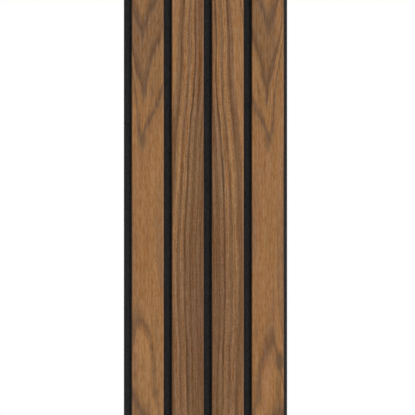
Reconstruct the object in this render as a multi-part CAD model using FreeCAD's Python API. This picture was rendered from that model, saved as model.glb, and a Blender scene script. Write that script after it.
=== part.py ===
# Acoustic slat wall panel: four veneer-wrapped slats stapled to one board of black felt.
#
# Millimetres. +Z runs up the panel, +X to the right as seen from the room. The wall side of the
# felt lies in the plane Y = 0 and the slats face -Y. The origin is the middle of that wall face.
#
# The felt board ends in a shiplap: a lip at the right, half as thick as the board, slips behind
# the neighbour's left flange, so that the slats keep their pitch across the joint.
import FreeCAD, Part
import math
import os

# Panel
panel_length = 600.0
slat_count = 4
slat_pitch = 40.0

# Slats: a fibreboard core, wrapped in veneer on its front and both sides
slat_width = 32.0
slat_depth = 12.0
veneer_thickness = 0.6
arris_radius = 1.4

# Felt board and its lap to the next panel
felt_thickness = 9.0
felt_edge_radius = 0.8
lip_width = 3.5
lip_thickness = 4.5
lap_clearance = 0.3

# Flat-wire staples, driven through the felt into the cores from the wall side
staple_crown = 10.6
staple_leg = 14.0
wire_thickness = 0.6
wire_width = 1.2
bend_radius = 0.4
staple_sink = 0.4
dimple_margin = 0.9
staple_row_pitch = 125.0
staple_end_distance = 50.0

# Places that several pieces share
gap_width = slat_pitch - slat_width
board_width = slat_count * slat_pitch
overall_width = board_width + lip_width
left_side = -overall_width / 2
board_right = left_side + board_width
right_side = left_side + overall_width
bottom_end = -panel_length / 2
felt_front = -felt_thickness
slat_front = felt_front - slat_depth


def corner_cut(before, corner, after, radius):
    """The two tangent points and the middle point of the arc that rounds one corner."""
    back = (before - corner).normalize()
    ahead = (after - corner).normalize()
    half_angle = back.getAngle(ahead) / 2
    reach = radius / math.tan(half_angle)
    centre = corner + (back + ahead).normalize() * (radius / math.sin(half_angle))
    middle = centre + (corner - centre).normalize() * radius
    return corner + back * reach, middle, corner + ahead * reach


def section(corners):
    """A face in the XY plane from (x, y, radius) corners; radius 0 leaves a corner sharp."""
    points = [FreeCAD.Vector(x, y, 0) for x, y, _ in corners]
    stops = []
    for i, (_, _, radius) in enumerate(corners):
        if radius:
            following = points[(i + 1) % len(points)]
            stops.append(corner_cut(points[i - 1], points[i], following, radius))
        else:
            stops.append((points[i],))
    edges = []
    for i, stop in enumerate(stops):
        if len(stop) == 3:
            edges.append(Part.Arc(*stop).toShape())
        following = stops[(i + 1) % len(stops)][0]
        if stop[-1].distanceToPoint(following) > 1e-6:
            edges.append(Part.LineSegment(stop[-1], following).toShape())
    return Part.Face(Part.Wire(edges))


def run_of(profile, length, start):
    """The profile carried up Z by length, from the height start."""
    solid = profile.extrude(FreeCAD.Vector(0, 0, length))
    solid.translate(FreeCAD.Vector(0, 0, start))
    return solid


def slat_middles():
    first = left_side + gap_width + slat_width / 2
    return [first + slat_pitch * i for i in range(slat_count)]


def staple_places():
    """The slat middle and the height of each staple: as many even rows as the pitch asks for."""
    span = panel_length - 2 * staple_end_distance
    spaces = max(1, round(span / staple_row_pitch))
    heights = [bottom_end + staple_end_distance + span * i / spaces for i in range(spaces + 1)]
    return [(middle, height) for middle in slat_middles() for height in heights]


def staple(middle, height):
    """One flat-wire staple: rounded bends, and legs cut to a chisel point."""
    outside = staple_crown / 2
    inside = outside - wire_thickness
    back = -staple_sink
    tip = back - staple_leg
    outer_bend = bend_radius + wire_thickness
    corners = [
        (-outside, back, outer_bend),
        (outside, back, outer_bend),
        (outside, tip, 0),
        (inside, tip + wire_thickness, 0),
        (inside, back - wire_thickness, bend_radius),
        (-inside, back - wire_thickness, bend_radius),
        (-inside, tip + wire_thickness, 0),
        (-outside, tip, 0),
    ]
    wire = run_of(section(corners), wire_width, height - wire_width / 2)
    wire.translate(FreeCAD.Vector(middle, 0, 0))
    return wire


def dimple(middle, height):
    """The trough that a staple's crown presses into the wall side of the felt, with round ends."""
    half_height = wire_width / 2 + dimple_margin
    half_length = staple_crown / 2 + dimple_margin - half_height
    top = FreeCAD.Vector(0, 0, half_height)
    left = FreeCAD.Vector(-half_length, 0, 0)
    right = FreeCAD.Vector(half_length, 0, 0)
    reach = FreeCAD.Vector(half_height, 0, 0)
    outline = Part.Wire(
        [
            Part.LineSegment(left + top, right + top).toShape(),
            Part.Arc(right + top, right + reach, right - top).toShape(),
            Part.LineSegment(right - top, left - top).toShape(),
            Part.Arc(left - top, left - reach, left + top).toShape(),
        ]
    )
    trough = Part.Face(outline).extrude(FreeCAD.Vector(0, -staple_sink - wire_thickness, 0))
    trough.translate(FreeCAD.Vector(middle, 0, height))
    return trough


def felt_board(staples):
    """The felt, with its lip and flange, the troughs of the crowns and the legs' channels."""
    flange_back = -lip_thickness - lap_clearance
    flange_root = left_side + lip_width + lap_clearance
    corners = [
        (left_side, felt_front, felt_edge_radius),
        (left_side, flange_back, felt_edge_radius),
        (flange_root, flange_back, 0),
        (flange_root, 0, felt_edge_radius),
        (right_side, 0, felt_edge_radius),
        (right_side, -lip_thickness, felt_edge_radius),
        (board_right, -lip_thickness, 0),
        (board_right, felt_front, 0),
    ]
    board = run_of(section(corners), panel_length, bottom_end)
    troughs = Part.makeCompound([dimple(middle, height) for middle, height in staple_places()])
    return board.cut(troughs).cut(staples)


def slat_profile(middle, inset):
    """A slat's cross-section, moved in from its front and sides by inset."""
    half = slat_width / 2 - inset
    corner = max(arris_radius - inset, 0)
    return section(
        [
            (middle - half, felt_front, 0),
            (middle - half, slat_front + inset, corner),
            (middle + half, slat_front + inset, corner),
            (middle + half, felt_front, 0),
        ]
    )


def slat_core(middle, staples):
    """The fibreboard core, with the blind channels of its staples' legs."""
    bar = run_of(slat_profile(middle, veneer_thickness), panel_length, bottom_end)
    return bar.cut(staples)


def veneer_wrap(middle):
    """The veneer, folded over both arrises and down to the felt."""
    skin = slat_profile(middle, 0).cut(slat_profile(middle, veneer_thickness)).Faces[0]
    return run_of(skin, panel_length, bottom_end)


def save(name, shape):
    shape.exportStep("parts/" + name + ".step")
    print(f"{name}: {len(shape.Solids)} solid(s), {shape.Volume / 1000:.2f} cm3, valid {shape.isValid()}")


os.makedirs("parts", exist_ok=True)
staples = Part.makeCompound([staple(middle, height) for middle, height in staple_places()])
save("staples", staples)
save("felt_board", felt_board(staples))
for number, middle in enumerate(slat_middles(), start=1):
    save(f"slat_core_{number}", slat_core(middle, staples))
    save(f"slat_veneer_{number}", veneer_wrap(middle))
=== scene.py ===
# Acoustic slat wall panel: walnut-veneered slats on charcoal felt, seen straight from the front.
import bmesh
import bpy
import math
from mathutils import Matrix, Vector
from mathutils import noise as fieldNoise


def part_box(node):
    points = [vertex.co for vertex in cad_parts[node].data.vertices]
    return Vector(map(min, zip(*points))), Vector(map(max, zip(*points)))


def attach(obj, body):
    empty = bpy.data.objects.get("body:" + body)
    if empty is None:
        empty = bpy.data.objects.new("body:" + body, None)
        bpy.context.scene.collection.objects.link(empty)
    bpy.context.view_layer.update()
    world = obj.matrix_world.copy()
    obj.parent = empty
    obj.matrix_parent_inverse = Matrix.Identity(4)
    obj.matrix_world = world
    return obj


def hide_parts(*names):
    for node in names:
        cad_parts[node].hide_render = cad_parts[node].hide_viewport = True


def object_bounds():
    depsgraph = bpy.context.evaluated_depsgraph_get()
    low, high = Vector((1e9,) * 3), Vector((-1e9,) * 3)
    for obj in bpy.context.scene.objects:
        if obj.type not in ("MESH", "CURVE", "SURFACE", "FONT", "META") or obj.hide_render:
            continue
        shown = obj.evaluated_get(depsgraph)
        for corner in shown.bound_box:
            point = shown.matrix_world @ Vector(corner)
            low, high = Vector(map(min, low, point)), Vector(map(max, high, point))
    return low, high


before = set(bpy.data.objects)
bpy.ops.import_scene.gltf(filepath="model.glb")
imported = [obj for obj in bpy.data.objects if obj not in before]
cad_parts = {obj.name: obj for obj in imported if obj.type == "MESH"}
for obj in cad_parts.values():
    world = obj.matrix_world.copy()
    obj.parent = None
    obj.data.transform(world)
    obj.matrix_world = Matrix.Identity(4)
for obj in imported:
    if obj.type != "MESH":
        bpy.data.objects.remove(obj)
cadLow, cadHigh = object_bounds()  # the CAD model's box, before anything is dressed
mm = 0.001
slatNumbers = range(1, 5)
print("frame loaded:", ", ".join(sorted(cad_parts)))


# Shader helpers. Everything on the panel is laid out in millimetres of its own frame.
def tone(red, green, blue):  # 0-255 screen values to a linear colour
    shares = [value / 255 for value in (red, green, blue)]
    return (*[s / 12.92 if s <= 0.04045 else ((s + 0.055) / 1.055) ** 2.4 for s in shares], 1.0)


def freshMaterial(name):
    material = bpy.data.materials.new(name)
    material.use_nodes = True
    tree = material.node_tree
    return material, tree, tree.nodes["Principled BSDF"]


def plug(tree, socket, value):  # an output is linked, a number or colour is set on the socket
    if isinstance(value, bpy.types.NodeSocket):
        tree.links.new(value, socket)
    else:
        socket.default_value = value


def calc(tree, operation, *values):
    node = tree.nodes.new("ShaderNodeMath")
    node.operation = operation
    for socket, value in zip(node.inputs, values):
        plug(tree, socket, value)
    return node.outputs[0]


def plus(tree, one, other):
    return calc(tree, "ADD", one, other)


def minus(tree, one, other):
    return calc(tree, "SUBTRACT", one, other)


def times(tree, one, other):
    return calc(tree, "MULTIPLY", one, other)


def scaled(tree, value, factor, offset):  # value times factor plus offset
    return calc(tree, "MULTIPLY_ADD", value, factor, offset)


def remap(tree, value, fromLow, fromHigh, toLow=0.0, toHigh=1.0, ease="LINEAR"):
    node = tree.nodes.new("ShaderNodeMapRange")
    node.interpolation_type = ease
    for socket, number in zip(node.inputs, (value, fromLow, fromHigh, toLow, toHigh)):
        plug(tree, socket, number)
    return node.outputs[0]


def split(tree, vector):
    node = tree.nodes.new("ShaderNodeSeparateXYZ")
    plug(tree, node.inputs[0], vector)
    return node.outputs


def join(tree, x, y, z):
    node = tree.nodes.new("ShaderNodeCombineXYZ")
    for socket, value in zip(node.inputs, (x, y, z)):
        plug(tree, socket, value)
    return node.outputs[0]


def millimetres(tree):  # the panel's own coordinates, as the frame gives them, times a thousand
    node = tree.nodes.new("ShaderNodeVectorMath")
    node.operation = "SCALE"
    plug(tree, node.inputs[0], tree.nodes.new("ShaderNodeTexCoord").outputs["Object"])
    node.inputs["Scale"].default_value = 1 / mm
    return node.outputs[0]


def noise(tree, vector, perMm, detail=2.0, rough=0.5, warp=0.0, shift=(0, 0, 0)):
    place = tree.nodes.new("ShaderNodeMapping")
    plug(tree, place.inputs["Vector"], vector)
    place.inputs["Scale"].default_value = perMm  # cycles per millimetre along each axis
    place.inputs["Location"].default_value = shift
    node = tree.nodes.new("ShaderNodeTexNoise")
    plug(tree, node.inputs["Vector"], place.outputs[0])
    node.inputs["Scale"].default_value = 1.0
    node.inputs["Detail"].default_value = detail
    node.inputs["Roughness"].default_value = rough
    node.inputs["Distortion"].default_value = warp
    return node.outputs[0]


def ramp(tree, value, stops):  # stops are (place, colour), in rising order
    low, high = stops[0][0], stops[-1][0]
    node = tree.nodes.new("ShaderNodeValToRGB")
    bar = node.color_ramp
    bar.interpolation = "LINEAR"
    bar.elements[0].position, bar.elements[0].color = 0.0, stops[0][1]
    bar.elements[1].position, bar.elements[1].color = 1.0, stops[-1][1]
    for place, colour in stops[1:-1]:
        bar.elements.new((place - low) / (high - low)).color = colour
    plug(tree, node.inputs[0], remap(tree, value, low, high))
    return node.outputs[0]


def shades(tree, value, stops):  # stops are (place, paleness)
    return ramp(tree, value, [(place, (pale, pale, pale, 1.0)) for place, pale in stops])


def curve(tree, value, points):  # a smooth line through (from, to) points, level beyond both ends
    start, stop = points[0][0], points[-1][0]
    low, high = min(to for _, to in points), max(to for _, to in points)
    places = [((x - start) / (stop - start), (y - low) / (high - low)) for x, y in points]
    node = tree.nodes.new("ShaderNodeFloatCurve")
    line = node.mapping.curves[0].points
    line[0].location, line[1].location = places[0], places[-1]
    for x, y in places[1:-1]:
        line.new(x, y)
    node.mapping.update()
    plug(tree, node.inputs["Value"], remap(tree, value, start, stop))
    return remap(tree, node.outputs[0], 0.0, 1.0, low, high)


def mixColour(tree, share, under, over, blend="MIX"):
    node = tree.nodes.new("ShaderNodeMix")
    node.data_type = "RGBA"
    node.blend_type = blend
    plug(tree, node.inputs[0], share)
    plug(tree, node.inputs[6], under)
    plug(tree, node.inputs[7], over)
    return node.outputs[2]


def shaded(tree, colour, one, other):  # a colour made darker or lighter by both factors
    shade = times(tree, one, other)
    return mixColour(tree, 1.0, colour, join(tree, shade, shade, shade), "MULTIPLY")


def bump(tree, shader, height, strength, depth):  # depth in millimetres
    node = tree.nodes.new("ShaderNodeBump")
    node.inputs["Strength"].default_value = strength
    node.inputs["Distance"].default_value = depth * mm
    plug(tree, node.inputs["Height"], height)
    tree.links.new(node.outputs[0], shader.inputs["Normal"])


# Walnut veneer. The leaves are book-matched: the figure to the left of the joint mirrors the one
# to the right. Each ring is a hyperbola about the heart, so the arches point down above the waist
# and up below it, and the stripes between heart and joint bow towards the heart at the waist.
veneerFigure = {
    "joint": -0.4,  # X where the two leaves meet
    "heart": 64.0,  # from the joint to the middle of the arches
    "heartWander": 11.0,  # how far the heart moves outwards below the waist
    "wanderLength": 200.0,
    "waist": -27.5,  # Z of the narrowest stripes
    "slenderness": 7.5,  # rings are this much longer than wide
    # how far the heart strays outwards of that line, by Z
    "heartStray": [
        (-300, 4), (-205, 3.3), (-183, 0.6), (-168, -1.2), (-142, -2.6), (-132, -2.7), (-115, -2),
        (-60, -0.7), (0, 0), (70, -0.3), (115, -2.6), (150, -1.8), (184, -1), (300, -1),
    ],
    # distance from the heart, and the distance that the rings follow: below the waist, just above it
    # and further up
    "lowFlanks": [
        (-40, -68), (-14, -25), (-5, -10.6), (0, 0), (4, 3), (9.4, 6), (13, 8.3), (17, 10.5),
        (22, 12.8), (28, 14.6), (31, 16.4), (42, 24),
    ],
    "middleFlanks": [
        (-40, -68), (-14, -23.8), (-8, -12.7), (-4, -6.1), (-2, -4), (0, 0), (1.7, 4), (3.7, 6.8),
        (8.7, 9.4), (15.3, 12.6), (18.7, 15), (24, 21.5), (29, 28.2), (34, 34), (80, 80),
    ],
    "highFlanks": [
        (-40, -68), (-14, -22), (-7.5, -13.6), (-2.5, -8), (0, 0), (2.5, 7), (5, 10.5), (7, 13),
        (10, 14.9), (13.6, 16.6), (20, 20.2), (25, 25), (30, 30), (80, 80),
    ],
    # heights above the waist over which the low ones end and, at the heart, the high ones start
    "lowFlanksEnd": (-80, -20),
    "highFlanksStart": (88, 120),
    "highFlanksLean": 4,  # each millimetre from the heart puts that start up by this
    # nearer the joint than this neither the heart's stray nor the low flanks bend the rings
    "archesFrom": (38.7, 41.3),
    # how far the figure is drawn up, by Z, in the left leaf and in the right one
    "leftSlip": [
        (-300, -19), (-200, -19), (-183, -16.5), (-168, -9), (-154, 0), (-142, 4.5), (-130, 6.3),
        (-115, 8), (-60, 5), (-20, 0), (35, -3.5), (65, -3.5), (95, -1.5), (118, -1), (140, -2.5),
        (300, -2.3),
    ],
    "rightSlip": [
        (-300, -28), (-200, -28), (-183, -24), (-168, -17), (-150, -13.5), (-132, -12.5), (-108, -11),
        (-80, -7), (-20, -2), (35, -4), (60, -3.5), (98, -4), (118, 1), (145, 3), (185, 1.5),
        (300, 1.5),
    ],
    "leafBlend": 20,  # from minus this X to plus this X one leaf's values change into the other's
    # how far the stripes swing towards the joint, by Z
    "stripeSwing": [
        (-300, 9.5), (-200, 8.5), (-150, 6.1), (-116, 3), (-84, 0.8), (-60, -0.1), (-36, -0.5),
        (-12, 0.2), (27, 1.0), (60, 1.6), (85, 2.5), (107, 4.05), (123, 4.6), (140, 4.15), (172, 2.0),
        (204, 0.3), (300, -3),
    ],
    "swingFrom": (10, 26),  # rings over which the swing sets in
    "sideSway": 1.0,
    "lengthSway": 4.0,
    "fibreJitter": 5.5,  # each fibre slides up or down by this, which frays the tips of the arches
    "raggedness": 0.55,  # and the rings' edges wander by this
    # how pale the sheet is on each ring, from 0 on the darkest lines to 1: the arches and the plain
    # heart between them, the thinner arches at the foot of each leaf, and the stripes at the joint
    "archShades": [
        (-60, 0.71), (-52, 0.82), (-50, 0.27), (-47.5, 0.6), (-43.6, 0.2), (-42, 0.67), (-37, 0.78),
        (-35.8, 0.24), (-34.8, 0.73), (-30, 0.78), (-28.4, 0.36), (-27.7, 0.05), (-26.8, 0.13),
        (-25.6, 0.52), (-23.4, 0.55), (-21.6, 0.46), (-20.2, 0.33), (-19.2, 0.12), (-18.5, 0.2),
        (-17.2, 0.75), (-15.6, 0.96), (-14.4, 0.84), (-13.6, 0.34), (-13, 0.06), (-12.3, 0.56),
        (-11, 0.78), (-7, 0.84), (0, 0.9), (12, 0.89),
    ],
    "leftFootShades": [
        (-60, 0.72), (-25, 0.76), (-21.5, 0.66), (-19.8, 0.62), (-19.1, 0.12), (-18.5, 0.08),
        (-17.7, 0.8), (-16, 1), (-13.9, 0.98), (-13.1, 0.56), (-12.5, 0.22), (-12, 0.62),
        (-11.2, 0.8), (-9, 0.87), (0, 0.9), (12, 0.89),
    ],
    "rightFootShades": [
        (-60, 0.5), (-25, 0.55), (-21.5, 0.5), (-20.2, 0.3), (-19.5, 0.03), (-18.8, 0.4),
        (-18, 0.75), (-17.2, 0.92), (-16, 1), (-14.6, 0.93), (-13.9, 0.68), (-13.1, 0.32),
        (-12.5, 0.22), (-11.7, 0.6), (-10.9, 0.72), (-9.4, 0.84), (0, 0.9), (12, 0.89),
    ],
    "footOver": (-50, -100),  # Z over which the foot's shades take over
    "footAside": (20, 30),  # and how far from X 0 they set in
    "stripeShades": [
        (12, 0.91), (15.5, 0.85), (17, 0.9), (19, 0.97), (21.4, 0.9), (23, 0.78), (24.4, 0.5),
        (26.6, 0.45), (28.4, 0.32), (29.4, 0.2), (30.5, 0.28), (31.6, 0.58), (32.6, 0.88), (34.8, 0.97),
        (36.2, 0.88), (37.6, 0.5), (38.7, 0.36), (39.8, 0.54), (41.2, 0.86), (43.5, 0.95), (44.3, 0.35),
        (44.9, 0), (45.7, 0.12), (46.9, 0.68), (48.8, 0.6), (50.5, 0.24), (51.8, 0.28), (55.2, 0.6),
        (56.9, 0.14), (58.6, 0.5), (60.7, 0.2), (70, 0.5),
    ],
    "stripesFrom": (11.9, 12.1),  # the ring where arches turn into stripes
    "calmOver": (70, -110),  # Z over which the stripes draw together
    "calmLoss": 0.28,  # the share of their paleness that they lose there
    "calmLift": 0.04,  # and what every one gains
    "archPalette": [(0, tone(98, 69, 48)), (1, tone(154, 109, 65))],
    "stripePalette": [
        (0, tone(89, 58, 28)), (0.25, tone(106, 72, 41)), (0.6, tone(129, 93, 64)),
        (0.85, tone(145, 104, 66)), (1, tone(155, 111, 67)),
    ],
    # the next ranges hold: from low, from high, to low, to high
    "softTone": tone(113, 80, 51),  # the stripes fade towards this in patches
    "softPatches": (0.45, 0.7, 0, 0.6),
    "softByHeight": (-60, 90, 0.7, 0.3),
    "softByRing": (20, 30, 0, 1),
    "mauve": tone(118, 84, 66),
    "mauvePatches": (0.52, 0.7, 0, 0.35),
    "olive": tone(132, 102, 58),
    "olivePatches": (0.48, 0.32, 0, 0.2),
    # the arches turn ashen at the top, and in the left leaf at the foot too: share by Z
    "leftAsh": [(-300, 1), (-165, 1), (-130, 0), (80, 0), (115, 0.8), (300, 0.8)],
    "rightAsh": [(-300, 0), (-165, 0), (-130, 0), (80, 0), (115, 0.8), (300, 0.8)],
    "ashTint": (0.965, 1.0, 1.065, 1.0),
    # streaks: how much each kind of grain lightens and darkens the sheet
    "bandReach": 0.36,
    "bandsByHeight": (0, 120, 0.95, 1.25),
    "gritReach": 0.26,
    "streaksByRing": (18, 32, 0.35, 1),  # the stripes have more bands and grit than the arches
    "fibreReach": 0.22,
    "fleckReach": 0.26,
    "fineReach": 0.1,
    "curlReach": (0.45, 0.65, 0.01, 0.06),
    # red, green and blue: gain by the streaks, level and gain by the warmth
    "tint": [(0.72, 1.0, 0.07), (1.12, 0.982, -0.027), (1.9, 0.93, -0.16)],
    # darker clouds where the arches turn: X, Z, half width, half height and share of the tone
    "clouds": [
        (64.5, 187, 6, 20, 0.35), (-63, 123, 5.5, 18, 0.25), (-62.8, 67, 4.3, 14, 0.62),
        (62.5, 67, 4.3, 14, 0.52), (-68.5, -108, 6.5, 16, 0.4), (-73, -122, 4, 18, 0.75),
        (66.5, -128, 5.5, 12, 0.35), (74.3, -153.5, 6.3, 13, 1),
    ],
    "cloudTone": tone(104, 76, 49),
    "spotEdge": (0.3, 1.1),  # where a spot starts to fade and where it has gone: 1 is its outline
    "cloudFibres": (0.35, 0.65, 0.8, 1.2),
    # long gleams, and dull streaks with a minus, that break up the rings: X, Z, half width, half
    # height and how much paler
    "gleams": [
        (-68.5, 97, 3.5, 18, 0.3), (-50, 125, 6, 30, -0.18), (-48.5, -122, 2.2, 34, -0.2),
        (-58, -203, 6, 14, -0.18), (-22.5, 50, 1.8, 24, 0.35), (-18.5, 50, 1.8, 20, -0.3),
        (-16.5, -170, 1.9, 55, -0.35), (-5.5, 150, 3.2, 45, 0.28), (11.5, 137, 1.9, 36, 0.35),
        (14.5, -22, 5, 26, 0.15), (18.5, 42, 2.4, 30, -0.27), (22.5, 42, 2.2, 28, 0.28),
        (29.5, -188, 1.8, 20, -0.3), (33.5, -42, 2, 58, 0.25), (34, -195, 3.2, 24, 0.35),
        (50.5, -127, 3, 14, -0.22), (60, -172, 6.5, 34, 0.17), (73, -178, 4.5, 26, -0.22),
        (73.5, 188, 4.5, 32, 0.35),
    ],
    "gleamShares": (1.0, 0.97, 0.9),  # of red, green and blue
    "poreTone": tone(74, 54, 40),
    "poresFrom": (0.6, 0.68),
    "poreShare": 0.45,
    # the folded arrises carry a painted highlight, a little paler: distance from a slat's middle, and
    # depth
    "arrisHighlightTone": tone(190, 168, 148),
    "arrisHighlightFrom": (14.3, 15.7),
    "arrisHighlightDepth": (0.7, 2.0, 1, 0),
    "arrisHighlightShare": 0.03,
    "roughness": (0.3, 0.7, 0.42, 0.54),
    "specular": 0.22,
    "fineRelief": 0.35,
    "poreRelief": 0.8,
    "bumpStrength": 0.35,
    "bumpDepth": 0.06,
    "noiseSpan": (0.25, 0.75),  # nearly all of a noise texture's values lie between these
    # noise for each kind of grain: cycles per millimetre across the sheet, through it and along it
    "grain": {
        "sway": {"perMm": (0.02, 1, 0.009), "detail": 1.5},
        "drift": {"perMm": (0.03, 1, 0.006), "detail": 1.0, "shift": (40, 0, 0)},
        "fray": {"perMm": (0.9, 1, 0.012), "detail": 3.0, "rough": 0.6, "shift": (0, 0, 9)},
        "ragged": {"perMm": (0.22, 1, 0.035), "detail": 3.0, "shift": (13, 0, 1)},
        "soft": {"perMm": (0.2, 1, 0.03), "detail": 2.0, "shift": (21, 0, 3)},
        "hue": {"perMm": (0.09, 1, 0.007), "detail": 2.0, "shift": (0, 0, 37.3)},
        "bands": {"perMm": (0.6, 1, 0.01), "detail": 2.0, "rough": 0.55, "shift": (0, 0, 77)},
        "fibres": {"perMm": (0.42, 1, 0.011), "detail": 4.0, "rough": 0.62, "shift": (3, 0, 5)},
        "flecks": {"perMm": (0.7, 1, 0.11), "detail": 2.0, "rough": 0.55, "shift": (6, 0, 4)},
        "fine": {"perMm": (3.2, 1, 0.05), "detail": 3.0, "rough": 0.6, "shift": (11, 0, 2)},
        "grit": {"perMm": (0.8, 1, 0.5), "detail": 1.0, "shift": (15, 0, 12)},
        "curl": {"perMm": (0.1, 1, 0.32), "detail": 1.0, "warp": 0.5, "shift": (5, 0, 8)},
        "curled": {"perMm": (0.03, 1, 0.012), "detail": 1.0, "shift": (1, 0, 6)},
        "warmth": {"perMm": (0.35, 1, 0.1), "detail": 3.0, "shift": (8, 0, 3)},
        "pores": {"perMm": (4.2, 1, 0.2), "detail": 1.5, "shift": (2, 0, 17)},
    },
}


def grain(tree, sheet, part):
    return noise(tree, sheet, **veneerFigure["grain"][part])


def swing(tree, fac, reach):  # noise as plus or minus reach
    return remap(tree, fac, *veneerFigure["noiseSpan"], -reach, reach)


def ofLeaf(tree, across, left, right, ease="LINEAR"):  # the left leaf's value or the right one's
    blend = veneerFigure["leafBlend"]
    return remap(tree, across, -blend, blend, left, right, ease)


def followed(tree, inward, outside, height):  # the distance from the heart that the rings follow
    look = veneerFigure
    low = remap(tree, outside, 0.0, 1.0, inward, curve(tree, inward, look["lowFlanks"]))
    middle = curve(tree, inward, look["middleFlanks"])
    high = curve(tree, inward, look["highFlanks"])
    reached = scaled(tree, calc(tree, "ABSOLUTE", inward), -look["highFlanksLean"], height)
    upper = remap(tree, reached, *look["highFlanksStart"], middle, high, "SMOOTHSTEP")
    return remap(tree, height, *look["lowFlanksEnd"], low, upper, "SMOOTHSTEP")


def ringOf(tree, sheet, across, z):  # the ring that each point of the sheet lies on
    look = veneerFigure
    waist = look["waist"]
    sway = swing(tree, grain(tree, sheet, "sway"), look["sideSway"])
    drift = swing(tree, grain(tree, sheet, "drift"), look["lengthSway"])
    fray = swing(tree, grain(tree, sheet, "fray"), look["fibreJitter"])
    height = minus(tree, plus(tree, plus(tree, z, drift), fray), waist)

    fromJoint = calc(tree, "ABSOLUTE", minus(tree, plus(tree, across, sway), look["joint"]))
    wander = remap(tree, z, waist, waist - look["wanderLength"], 0.0, look["heartWander"], "SMOOTHSTEP")
    inward = minus(tree, plus(tree, wander, look["heart"]), fromJoint)
    outside = remap(tree, fromJoint, *look["archesFrom"])
    inward = scaled(tree, curve(tree, z, look["heartStray"]), outside, inward)
    inward = followed(tree, inward, outside, height)

    leftSlip, rightSlip = curve(tree, z, look["leftSlip"]), curve(tree, z, look["rightSlip"])
    slip = ofLeaf(tree, across, leftSlip, rightSlip, "SMOOTHSTEP")
    along = calc(tree, "DIVIDE", minus(tree, height, slip), look["slenderness"])
    saddle = minus(tree, times(tree, inward, inward), times(tree, along, along))
    size = calc(tree, "SQRT", calc(tree, "ABSOLUTE", saddle))
    ring = times(tree, calc(tree, "SIGN", saddle), size)
    striped = remap(tree, ring, *look["swingFrom"], ease="SMOOTHSTEP")
    ring = minus(tree, ring, times(tree, curve(tree, z, look["stripeSwing"]), striped))
    return plus(tree, ring, swing(tree, grain(tree, sheet, "ragged"), look["raggedness"]))


def ringColour(tree, sheet, ring, across, z):  # arches and stripes, with slow drifts of hue
    look = veneerFigure
    onArch = shades(tree, ring, look["archShades"])
    foot = remap(tree, z, *look["footOver"])
    near, far = look["footAside"]
    for side, part in ((-1, "leftFootShades"), (1, "rightFootShades")):
        share = times(tree, foot, remap(tree, across, side * near, side * far))
        onArch = mixColour(tree, share, onArch, shades(tree, ring, look[part]))
    onArch = ramp(tree, onArch, look["archPalette"])
    ash = ofLeaf(tree, across, curve(tree, z, look["leftAsh"]), curve(tree, z, look["rightAsh"]))
    onArch = mixColour(tree, ash, onArch, look["ashTint"], "MULTIPLY")

    calm = remap(tree, z, *look["calmOver"], ease="SMOOTHSTEP")
    onStripe = shades(tree, ring, look["stripeShades"])
    onStripe = times(tree, onStripe, scaled(tree, calm, -look["calmLoss"], 1.0))
    onStripe = scaled(tree, calm, look["calmLift"], onStripe)
    onStripe = ramp(tree, onStripe, look["stripePalette"])
    colour = mixColour(tree, remap(tree, ring, *look["stripesFrom"]), onArch, onStripe)

    soft = remap(tree, grain(tree, sheet, "soft"), *look["softPatches"])
    soft = times(tree, soft, remap(tree, z, *look["softByHeight"]))
    soft = times(tree, soft, remap(tree, ring, *look["softByRing"]))
    colour = mixColour(tree, soft, colour, look["softTone"])
    hue = grain(tree, sheet, "hue")
    colour = mixColour(tree, remap(tree, hue, *look["mauvePatches"]), colour, look["mauve"])
    return mixColour(tree, remap(tree, hue, *look["olivePatches"]), colour, look["olive"])


def streaked(tree, colour, sheet, ring, z, fibres, fine):
    # bands that keep to the rings, grit, fibres, short flecks and a faint curl across the grain
    look = veneerFigure
    striped = remap(tree, ring, *look["streaksByRing"])
    bands = swing(tree, grain(tree, join(tree, ring, 0.0, z), "bands"), look["bandReach"])
    shade = times(tree, times(tree, bands, remap(tree, z, *look["bandsByHeight"])), striped)
    shade = scaled(tree, swing(tree, grain(tree, sheet, "grit"), look["gritReach"]), striped, shade)
    shade = plus(tree, shade, swing(tree, fibres, look["fibreReach"]))
    shade = plus(tree, shade, swing(tree, grain(tree, sheet, "flecks"), look["fleckReach"]))
    shade = plus(tree, shade, swing(tree, fine, look["fineReach"]))
    curled = remap(tree, grain(tree, sheet, "curled"), *look["curlReach"])
    shade = scaled(tree, swing(tree, grain(tree, sheet, "curl"), 1.0), curled, shade)
    warmth = swing(tree, grain(tree, sheet, "warmth"), 1.0)
    tint = []
    for gain, level, warm in look["tint"]:
        tint.append(scaled(tree, warmth, warm, scaled(tree, shade, gain, level)))
    return mixColour(tree, 1.0, colour, join(tree, *tint), "MULTIPLY")


def spot(tree, across, z, place, most):  # most in the spot's middle, 0 outside
    middleX, middleZ, wide, tall = place
    aside = calc(tree, "DIVIDE", minus(tree, across, middleX), wide)
    along = calc(tree, "DIVIDE", minus(tree, z, middleZ), tall)
    away = calc(tree, "SQRT", scaled(tree, aside, aside, times(tree, along, along)))
    return remap(tree, away, *veneerFigure["spotEdge"], most, 0.0, "SMOOTHSTEP")


def spotted(tree, colour, across, z, fibres):  # clouds, then gleams
    look = veneerFigure
    brokenUp = remap(tree, fibres, *look["cloudFibres"])
    for *place, dark in look["clouds"]:
        share = times(tree, spot(tree, across, z, place, dark), brokenUp)
        colour = mixColour(tree, share, colour, look["cloudTone"])
    lift = 0.0
    for *place, pale in look["gleams"]:
        lift = plus(tree, lift, spot(tree, across, z, place, pale))
    lifted = [scaled(tree, lift, share, 1.0) for share in look["gleamShares"]]
    return mixColour(tree, 1.0, colour, join(tree, *lifted), "MULTIPLY")


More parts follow.
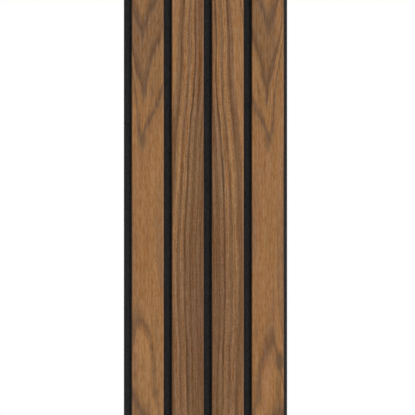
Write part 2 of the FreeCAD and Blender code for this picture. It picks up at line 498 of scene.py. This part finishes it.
def veneerMaterial(slatMiddle, slatPitch, slatFront):
    look = veneerFigure
    material, tree, shader = freshMaterial("walnutVeneer")
    x, y, z = split(tree, millimetres(tree))

    # unfold the sheet: on a slat's sides the figure runs on round the arris towards the felt
    steps = calc(tree, "ROUND", calc(tree, "DIVIDE", minus(tree, x, slatMiddle), slatPitch))
    local = minus(tree, x, scaled(tree, steps, slatPitch, slatMiddle))
    depth = minus(tree, y, slatFront)
    across = scaled(tree, calc(tree, "SIGN", local), depth, x)
    sheet = join(tree, across, 0.0, z)

    ring = ringOf(tree, sheet, across, z)
    fibres, fine = grain(tree, sheet, "fibres"), grain(tree, sheet, "fine")
    colour = ringColour(tree, sheet, ring, across, z)
    colour = streaked(tree, colour, sheet, ring, z, fibres, fine)
    colour = spotted(tree, colour, across, z, fibres)
    pores = remap(tree, grain(tree, sheet, "pores"), *look["poresFrom"])
    colour = mixColour(tree, times(tree, pores, look["poreShare"]), colour, look["poreTone"])
    # painted highlight: near the folded arrises the sheet is mixed a little towards a pale tone, where
    # the arris would catch the light
    nearFold = remap(tree, calc(tree, "ABSOLUTE", local), *look["arrisHighlightFrom"], ease="SMOOTHSTEP")
    paintedArrisHighlight = times(tree, nearFold, remap(tree, depth, *look["arrisHighlightDepth"], "SMOOTHSTEP"))
    colour = mixColour(tree, times(tree, paintedArrisHighlight, look["arrisHighlightShare"]), colour, look["arrisHighlightTone"])
    plug(tree, shader.inputs["Base Color"], colour)

    plug(tree, shader.inputs["Roughness"], remap(tree, fibres, *look["roughness"]))
    shader.inputs["Specular IOR Level"].default_value = look["specular"]
    relief = minus(tree, times(tree, fine, look["fineRelief"]), times(tree, pores, look["poreRelief"]))
    bump(tree, shader, relief, look["bumpStrength"], look["bumpDepth"])
    return material


# Slats: each veneer is one sheet folded round its core, so it is a plain U in section
slatVeneer = {"thickness": 0.6, "arrisRadius": 1.4, "arrisSteps": 7, "cutEdge": 0.08, "cutSteps": 2}
smallestRim = math.radians(60)  # a rim where the sheet was cut turns by more than this


def finishPiece(bm, name, material, nodes, creaseDegrees=32.0):
    crease = math.radians(creaseDegrees)
    for face in bm.faces:
        face.smooth = True
    for edge in bm.edges:
        edge.smooth = not edge.is_manifold or edge.calc_face_angle(0.0) < crease
    mesh = bpy.data.meshes.new(name)
    bm.to_mesh(mesh)
    bm.free()
    mesh.materials.append(material)
    piece = bpy.data.objects.new(name, mesh)
    bpy.context.scene.collection.objects.link(piece)
    flats = piece.modifiers.new("flatFaces", "WEIGHTED_NORMAL")
    flats.keep_sharp = True
    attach(piece, "root")
    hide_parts(*nodes)


def wrapSlat(number, material):
    look = slatVeneer
    node = f"slat_veneer_{number}"
    low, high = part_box(node)
    bm = bmesh.new()
    block = Matrix.Translation((low + high) / 2) @ Matrix.Diagonal((*(high - low), 1))
    bmesh.ops.create_cube(bm, size=1.0, matrix=block)
    openFaces = [face for face in bm.faces if face.normal.y > 0.5 or abs(face.normal.z) > 0.5]
    bmesh.ops.delete(bm, geom=openFaces, context="FACES")  # the sheet has a front and two sides
    arrises = [e for e in bm.edges if len(e.link_faces) == 2]
    bmesh.ops.bevel(
        bm, geom=arrises, offset=look["arrisRadius"] * mm, offset_type="OFFSET", affect="EDGES",
        segments=look["arrisSteps"], profile=0.5, material=-1,
    )
    bmesh.ops.solidify(bm, geom=bm.faces[:], thickness=look["thickness"] * mm)
    bmesh.ops.recalc_face_normals(bm, faces=bm.faces[:])
    rims = [e for e in bm.edges if e.is_manifold and e.calc_face_angle(0.0) > smallestRim]
    bmesh.ops.bevel(
        bm, geom=rims, offset=look["cutEdge"] * mm, offset_type="OFFSET", affect="EDGES",
        segments=look["cutSteps"], profile=0.5, material=-1,
    )
    finishPiece(bm, f"walnut_slat_{number}", material, [node])


firstLow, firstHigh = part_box("slat_veneer_1")
slatMiddle = (firstLow.x + firstHigh.x) / 2 / mm
slatPitch = (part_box("slat_veneer_2")[0].x - firstLow.x) / mm
slatFront = firstLow.y / mm
walnut = veneerMaterial(slatMiddle, slatPitch, slatFront)
for number in slatNumbers:
    wrapSlat(number, walnut)
print("slats wrapped in veneer")


# Fibreboard cores: their sawn ends show between the veneer and the felt
coreLook = {
    "heart": tone(176, 140, 98), "skin": tone(142, 106, 70), "fleck": tone(112, 82, 56),
    "skinDepth": 1.6,
    "fleckFrom": (0.55, 0.75, 0, 0.55),
    "clumpShade": (0.3, 0.7, 0.9, 1.08),
    "fibreShade": (0.3, 0.7, 0.93, 1.07),
    "roughness": (0.3, 0.7, 0.86, 0.96),
    "bumpStrength": 0.6,
    "bumpDepth": 0.25,
    "fibres": {"perMm": (2.6, 5.0, 2.6), "detail": 5.0, "rough": 0.7, "warp": 0.8},
    "clumps": {"perMm": (0.6, 1.4, 0.6), "detail": 2.0, "shift": (4, 4, 4)},
}


def fibreboardMaterial(front, back):
    look = coreLook
    material, tree, shader = freshMaterial("rawFibreboard")
    place = millimetres(tree)
    y = split(tree, place)[1]
    depth = calc(tree, "MINIMUM", minus(tree, y, front), minus(tree, back, y))
    fibres = noise(tree, place, **look["fibres"])
    clumps = noise(tree, place, **look["clumps"])
    colour = mixColour(tree, remap(tree, depth, 0.0, look["skinDepth"]), look["skin"], look["heart"])
    colour = mixColour(tree, remap(tree, fibres, *look["fleckFrom"]), colour, look["fleck"])
    clumped = remap(tree, clumps, *look["clumpShade"])
    colour = shaded(tree, colour, clumped, remap(tree, fibres, *look["fibreShade"]))
    plug(tree, shader.inputs["Base Color"], colour)
    plug(tree, shader.inputs["Roughness"], remap(tree, fibres, *look["roughness"]))
    bump(tree, shader, fibres, look["bumpStrength"], look["bumpDepth"])
    return material


coreLow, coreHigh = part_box("slat_core_1")
fibreboard = fibreboardMaterial(coreLow.y / mm, coreHigh.y / mm)
for number in slatNumbers:
    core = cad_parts[f"slat_core_{number}"]
    core.data.materials.clear()
    core.data.materials.append(fibreboard)
print("cores finished")


# Felt board: one pressed sheet, its laps cut with a knife, pressed in where the staples sit
feltBoard = {
    "cutRadius": 0.8, "cutSteps": 4,
    "lipThickness": 4.5, "lapClearance": 0.3,
    "cell": 3.2,  # size of the mesh's squares
    "fineCell": 0.7,  # and beside the staples
    "depthCell": 1.5,  # and through the board
    "seatReach": 3.4,  # how far from a crown the felt is drawn in
    "seatDepth": 1.05, "seatFade": 3,  # the power that it fades by
    "seatMargin": 0.15,  # the felt is at full depth this far round the crown
    "rowMargin": 0.8,  # the fine rows go on this far past the reach
    "swell": 0.14,  # unevenness of the pressed faces
    "swellLevel": 0.6, "swellShare": 0.4,
    "wallSwell": 0.8, "frontSwell": 0.5,
    "broadSwell": 0.11, "fineSwell": 0.31, "fineShare": 0.5,  # its waves per millimetre
    "swellThrough": 3,  # they change this much faster through the board
}
stapleSeat = {
    "crown": 10.6, "wireThickness": 0.6, "wireWidth": 1.2, "leg": 14.0, "bend": 0.7, "bendSteps": 6,
    "sink": 0.4, "rowPitch": 125.0, "endDistance": 50.0,
}
weld, closeWeld = 1e-6, 1e-7  # metres
faceMargin = 0.01  # millimetres: a point this near to a face lies on it


def staplePlaces():
    panelLow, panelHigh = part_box("felt_board")
    low = panelLow.z / mm + stapleSeat["endDistance"]
    high = panelHigh.z / mm - stapleSeat["endDistance"]
    spaces = round((high - low) / stapleSeat["rowPitch"])
    rows = [low + (high - low) * i / spaces for i in range(spaces + 1)]
    middles = [slatMiddle + slatPitch * (number - 1) for number in slatNumbers]
    return middles, rows


def cutPlaces(low, high, cell, fineSpots, fineReach, fineCell):
    # even cells from low to high, with finer ones about each fine spot
    count = round((high - low) / cell)
    places = [low + (high - low) * i / count for i in range(count + 1)]
    places = [p for p in places if all(abs(p - spot) > fineReach for spot in fineSpots)]
    steps = round(fineReach / fineCell)
    for spot in fineSpots:
        places += [spot + fineReach * i / steps for i in range(-steps, steps + 1)]
    return sorted({round(p, 4) for p in places + [low, high] if low <= p <= high})


def cut(bm, place, direction):  # cuts every face along one plane
    bmesh.ops.bisect_plane(
        bm, geom=bm.verts[:] + bm.edges[:] + bm.faces[:], dist=closeWeld,
        plane_co=Vector(direction) * place * mm, plane_no=direction,
    )


def onlyOf(kind, geometry):
    return [g for g in geometry if isinstance(g, kind)]


def feltPiece(material):
    look = feltBoard
    low, high = (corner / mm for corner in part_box("felt_board"))
    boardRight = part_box("slat_veneer_4")[1].x / mm
    lip = high.x - boardRight
    flangeBack = high.y - look["lipThickness"] - look["lapClearance"]
    flangeRoot = low.x + lip + look["lapClearance"]
    corners = [
        (low.x, low.y), (low.x, flangeBack), (flangeRoot, flangeBack), (flangeRoot, high.y),
        (high.x, high.y), (high.x, high.y - look["lipThickness"]),
        (boardRight, high.y - look["lipThickness"]), (boardRight, low.y),
    ]
    middles, rows = staplePlaces()

    # the section, as a face at the lower end, with its knife-cut corners eased
    bm = bmesh.new()
    outline = [bm.verts.new((x * mm, y * mm, low.z * mm)) for x, y in corners]
    bm.faces.new(outline)
    eased = [v for v, (x, y) in zip(outline, corners) if x not in (flangeRoot, boardRight)]
    eased.append(outline[3])  # the rebate's outer corner
    bmesh.ops.bevel(
        bm, geom=eased, offset=look["cutRadius"] * mm, offset_type="OFFSET", affect="VERTICES",
        segments=look["cutSteps"], profile=0.5, material=-1,
    )
    halfCrown = stapleSeat["crown"] / 2 + look["seatReach"]
    for place in cutPlaces(low.x, high.x, look["cell"], middles, halfCrown, look["fineCell"])[1:-1]:
        cut(bm, place, (1, 0, 0))
    for i in range(1, round((high.y - low.y) / look["depthCell"])):
        cut(bm, low.y + look["depthCell"] * i, (0, 1, 0))

    # carried up the panel in lifts, each cut into even rows, closer together beside the staples
    bottom = bm.faces[:]
    reach = look["seatReach"] + look["rowMargin"]
    stops = sorted([low.z, high.z] + [row + side * reach for row in rows for side in (-1, 1)])
    rim = [e for e in bm.edges if e.is_boundary]
    for i, (here, above) in enumerate(zip(stops, stops[1:])):
        raised = bmesh.ops.extrude_edge_only(bm, edges=rim)["geom"]
        lifted = onlyOf(bmesh.types.BMVert, raised)
        bmesh.ops.translate(bm, verts=lifted, vec=(0, 0, (above - here) * mm))
        rim = onlyOf(bmesh.types.BMEdge, raised)
        uprights = [e for v in lifted for e in v.link_edges if e not in rim]
        cell = look["fineCell"] if i % 2 else look["cell"]
        count = round((above - here) / cell)
        bmesh.ops.subdivide_edges(bm, edges=uprights, cuts=count - 1, use_grid_fill=True)
    top = onlyOf(bmesh.types.BMVert, bmesh.ops.duplicate(bm, geom=bottom)["geom"])
    bmesh.ops.translate(bm, verts=top, vec=(0, 0, (high.z - low.z) * mm))
    bmesh.ops.remove_doubles(bm, verts=bm.verts[:], dist=weld)
    bmesh.ops.recalc_face_normals(bm, faces=bm.faces[:])
    pressFelt(bm, middles, rows, low, high)
    finishPiece(bm, "felt_backing", material, ["felt_board"], creaseDegrees=50.0)


def pressFelt(bm, middles, rows, low, high):
    look = feltBoard
    halfBar = (stapleSeat["crown"] - stapleSeat["wireWidth"]) / 2
    bar = stapleSeat["wireWidth"] / 2 + look["seatMargin"]
    for vertex in bm.verts:
        x, y, z = vertex.co / mm
        swell = fieldNoise.noise(Vector((x, y * look["swellThrough"], z)) * look["broadSwell"])
        swell += look["fineShare"] * fieldNoise.noise(Vector((z, x, y)) * look["fineSwell"])
        inward = look["swell"] * (look["swellLevel"] + look["swellShare"] * swell)
        if y > high.y - faceMargin:  # wall side
            middle = min(middles, key=lambda m: abs(m - x))
            row = min(rows, key=lambda r: abs(r - z))
            beyond = max(abs(x - middle) - halfBar, 0.0)
            away = math.hypot(beyond, z - row) - bar
            pull = 1 - min(max(away / (look["seatReach"] - bar), 0.0), 1.0)
            drawnIn = (look["seatDepth"] - inward) * pull ** look["seatFade"]
            y -= inward * look["wallSwell"] + drawnIn
        elif y < low.y + faceMargin:
            y += inward * look["frontSwell"]
        vertex.co.y = y * mm


feltLook = {
    "base": tone(46, 46, 47), "fibre": tone(88, 89, 92), "dark": tone(14, 14, 15),
    "darkFrom": (0.42, 0.3),
    "fibreFrom": (0.58, 0.72, 0, 0.55),
    "clumpShade": (0.3, 0.7, 0.9, 1.1),
    "tangleShade": (0.3, 0.7, 0.32, 1.62),
    "roughness": (0.3, 0.7, 0.9, 1.0),
    "specular": 0.05, "sheen": 0.02, "sheenRoughness": 0.6,
    "tangleRelief": 0.6, "strandRelief": 0.5, "bumpStrength": 0.7, "bumpDepth": 0.5,
    "tangle": {"perMm": (0.7, 0.7, 0.55), "detail": 6.0, "rough": 0.72, "warp": 1.6},
    "strands": {"perMm": (3.0, 1.8, 1.1), "detail": 4.0, "rough": 0.6, "warp": 3.0, "shift": (9, 3, 1)},
    "clumps": {"perMm": (0.16, 0.16, 0.12), "detail": 3.0, "shift": (2, 5, 8)},
}


def feltMaterial():
    look = feltLook
    material, tree, shader = freshMaterial("charcoalFelt")
    place = millimetres(tree)
    tangle = noise(tree, place, **look["tangle"])
    strands = noise(tree, place, **look["strands"])
    clumps = noise(tree, place, **look["clumps"])
    colour = mixColour(tree, remap(tree, tangle, *look["darkFrom"]), look["base"], look["dark"])
    colour = mixColour(tree, remap(tree, strands, *look["fibreFrom"]), colour, look["fibre"])
    clumped = remap(tree, clumps, *look["clumpShade"])
    colour = shaded(tree, colour, clumped, remap(tree, tangle, *look["tangleShade"]))
    plug(tree, shader.inputs["Base Color"], colour)
    plug(tree, shader.inputs["Roughness"], remap(tree, strands, *look["roughness"]))
    shader.inputs["Specular IOR Level"].default_value = look["specular"]
    shader.inputs["Sheen Weight"].default_value = look["sheen"]
    shader.inputs["Sheen Roughness"].default_value = look["sheenRoughness"]
    relief = scaled(tree, tangle, look["tangleRelief"], times(tree, strands, look["strandRelief"]))
    bump(tree, shader, relief, look["bumpStrength"], look["bumpDepth"])
    return material


feltPiece(feltMaterial())
print("felt board pressed")


# Staples: flat galvanised wire, bent twice, its crown sunk a little below the felt
wireLook = {
    "tones": [(0.3, tone(150, 153, 158)), (0.5, tone(186, 189, 193)), (0.7, tone(206, 208, 210))],
    "roughness": (0.3, 0.7, 0.26, 0.42), "bumpStrength": 0.2, "bumpDepth": 0.03,
    "spangle": {"perMm": (1.1, 1.1, 1.1), "detail": 2.0, "rough": 0.6},
    "drawn": {"perMm": (0.5, 0.5, 9.0), "detail": 2.0},
}


def wireMaterial():
    look = wireLook
    material, tree, shader = freshMaterial("galvanisedWire")
    place = millimetres(tree)
    spangle = noise(tree, place, **look["spangle"])
    plug(tree, shader.inputs["Base Color"], ramp(tree, spangle, look["tones"]))
    plug(tree, shader.inputs["Roughness"], remap(tree, spangle, *look["roughness"]))
    shader.inputs["Metallic"].default_value = 1.0
    bump(tree, shader, noise(tree, place, **look["drawn"]), look["bumpStrength"], look["bumpDepth"])
    return material


def drawnOn(bm, end, vec):  # a face of the wire, drawn on straight
    grown = bmesh.ops.extrude_face_region(bm, geom=end)["geom"]
    bmesh.ops.translate(bm, verts=onlyOf(bmesh.types.BMVert, grown), vec=Vector(vec) * mm)
    bmesh.ops.delete(bm, geom=end, context="FACES_ONLY")
    return onlyOf(bmesh.types.BMFace, grown)


def bentRound(bm, end, pivot):  # a face of the wire, carried round a right-angled bend
    corners, sides = {v for f in end for v in f.verts}, {e for f in end for e in f.edges}
    spun = bmesh.ops.spin(
        bm, geom=[*corners, *sides, *end], cent=Vector(pivot) * mm, axis=(0, 0, 1),
        angle=-math.pi / 2, steps=stapleSeat["bendSteps"], dvec=(0, 0, 0),
    )
    return onlyOf(bmesh.types.BMFace, spun["geom_last"])


def staplePiece(material):
    look = stapleSeat
    middles, rows = staplePlaces()
    wire, width, bend = look["wireThickness"], look["wireWidth"], look["bend"]
    half = (look["crown"] - wire) / 2  # to the middle of each leg
    back, straight = -look["sink"], look["leg"] - wire / 2 - bend
    turn = back - wire / 2 - bend
    bm = bmesh.new()
    # the wire's section at the left leg's tip, carried round both bends to the other tip
    start = Matrix.Translation(Vector((-half, back - look["leg"], 0)) * mm)
    upright = Matrix.Rotation(math.radians(90), 4, "X")
    section = Matrix.Diagonal((wire * mm, width * mm, 1, 1))
    bmesh.ops.create_grid(bm, x_segments=1, y_segments=1, size=0.5, matrix=start @ upright @ section)
    end = drawnOn(bm, bm.faces[:], (0, straight, 0))
    end = bentRound(bm, end, (-half + bend, turn, 0))
    end = drawnOn(bm, end, (2 * (half - bend), 0, 0))
    end = bentRound(bm, end, (half - bend, turn, 0))
    drawnOn(bm, end, (0, -straight, 0))
    bmesh.ops.remove_doubles(bm, verts=bm.verts[:], dist=closeWeld)
    bmesh.ops.holes_fill(bm, edges=[e for e in bm.edges if e.is_boundary], sides=0)
    bmesh.ops.recalc_face_normals(bm, faces=bm.faces[:])
    one = bm.verts[:] + bm.edges[:] + bm.faces[:]
    for middle in middles:
        for row in rows:
            copy = onlyOf(bmesh.types.BMVert, bmesh.ops.duplicate(bm, geom=one)["geom"])
            bmesh.ops.translate(bm, verts=copy, vec=Vector((middle, 0, row)) * mm)
    bmesh.ops.delete(bm, geom=onlyOf(bmesh.types.BMVert, one), context="VERTS")
    finishPiece(bm, "staple_wires", material, ["staples"])


staplePiece(wireMaterial())
print("staples driven")


# Studio: a pale floor that fades into white, three lamps in front and one that fills the wall side
studio = {
    "floorRadius": 1.7, "floorSides": 96, "floorTone": tone(226, 226, 224), "floorRoughness": 0.8,
    "floorGap": 0.2,  # millimetres below the panel
    "fadeFrom": 0.5, "fadeTo": 1.5,  # metres from the middle
    "ambient": 0.1,
}
# aside 0 shines from the front, 90 from the right, 180 from behind
lamps = {
    "key": {"strength": 1.25, "aside": 14.0, "height": 32.0, "softness": 5.0},
    "front": {"strength": 0.52, "aside": -1.0, "height": 22.0, "softness": 22.0},
    "side": {"strength": 1.3, "aside": 52.0, "height": 14.0, "softness": 36.0},
    "fill": {"strength": 1.6, "aside": 215.0, "height": 38.0, "softness": 25.0},
}


def sunLamp(name, strength, aside, height, softness):
    data = bpy.data.lights.new(name, "SUN")
    data.energy = strength
    data.angle = math.radians(softness)
    lamp = bpy.data.objects.new(name, data)
    turn, rise = math.radians(aside), math.radians(height)
    level = math.cos(rise)
    towards = Vector((math.sin(turn) * level, -math.cos(turn) * level, math.sin(rise)))
    lamp.rotation_euler = towards.to_track_quat("Z", "Y").to_euler()
    bpy.context.scene.collection.objects.link(lamp)


def studioFloor():
    look = studio
    bm = bmesh.new()
    bmesh.ops.create_circle(bm, cap_ends=True, segments=look["floorSides"], radius=look["floorRadius"])
    bmesh.ops.translate(bm, verts=bm.verts[:], vec=(0, 0, cadLow.z - look["floorGap"] * mm))
    mesh = bpy.data.meshes.new("studio_floor")
    bm.to_mesh(mesh)
    bm.free()
    floor = bpy.data.objects.new("studio_floor", mesh)
    bpy.context.scene.collection.objects.link(floor)
    material, tree, shader = freshMaterial("paleFloor")
    shader.inputs["Base Color"].default_value = look["floorTone"]
    shader.inputs["Roughness"].default_value = look["floorRoughness"]
    glow = tree.nodes.new("ShaderNodeEmission")
    x, y = split(tree, tree.nodes.new("ShaderNodeTexCoord").outputs["Object"])[:2]
    fromMiddle = calc(tree, "SQRT", plus(tree, times(tree, x, x), times(tree, y, y)))
    fade = remap(tree, fromMiddle, look["fadeFrom"], look["fadeTo"], ease="SMOOTHERSTEP")
    blend = tree.nodes.new("ShaderNodeMixShader")
    plug(tree, blend.inputs[0], fade)
    tree.links.new(shader.outputs[0], blend.inputs[1])
    tree.links.new(glow.outputs[0], blend.inputs[2])
    tree.links.new(blend.outputs[0], tree.nodes["Material Output"].inputs["Surface"])
    mesh.materials.append(material)


def studioSky():  # white behind the panel, and a softer white as light
    world = bpy.data.worlds.new("whiteStudio")
    bpy.context.scene.world = world
    world.use_nodes = True
    tree = world.node_tree
    backdrop = tree.nodes["Background"]
    backdrop.inputs["Color"].default_value = (1, 1, 1, 1)
    seen = tree.nodes.new("ShaderNodeLightPath").outputs["Is Camera Ray"]
    plug(tree, backdrop.inputs["Strength"], remap(tree, seen, 0.0, 1.0, studio["ambient"], 1.0))


studioFloor()
studioSky()
for name, lamp in lamps.items():
    sunLamp(name, **lamp)
print("studio lit")


# Camera: a long lens square to the panel, which runs off the top and the bottom of the picture
cameraSet = {"lens": 900.0, "sensor": 36.0, "pictureWidth": 415.0, "pictureMiddle": 2.0}  # mm


def panelCamera():
    look = cameraSet
    data = bpy.data.cameras.new("frontCamera")
    data.lens, data.sensor_width = look["lens"], look["sensor"]
    camera = bpy.data.objects.new("frontCamera", data)
    distance = look["pictureWidth"] * look["lens"] / look["sensor"]
    camera.location = (look["pictureMiddle"] * mm, cadLow.y - distance * mm, 0.0)
    camera.rotation_euler = (math.radians(90), 0.0, 0.0)
    bpy.context.scene.collection.objects.link(camera)
    bpy.context.scene.camera = camera


panelCamera()
bpy.context.scene.view_settings.view_transform = "Standard"
print("camera set")
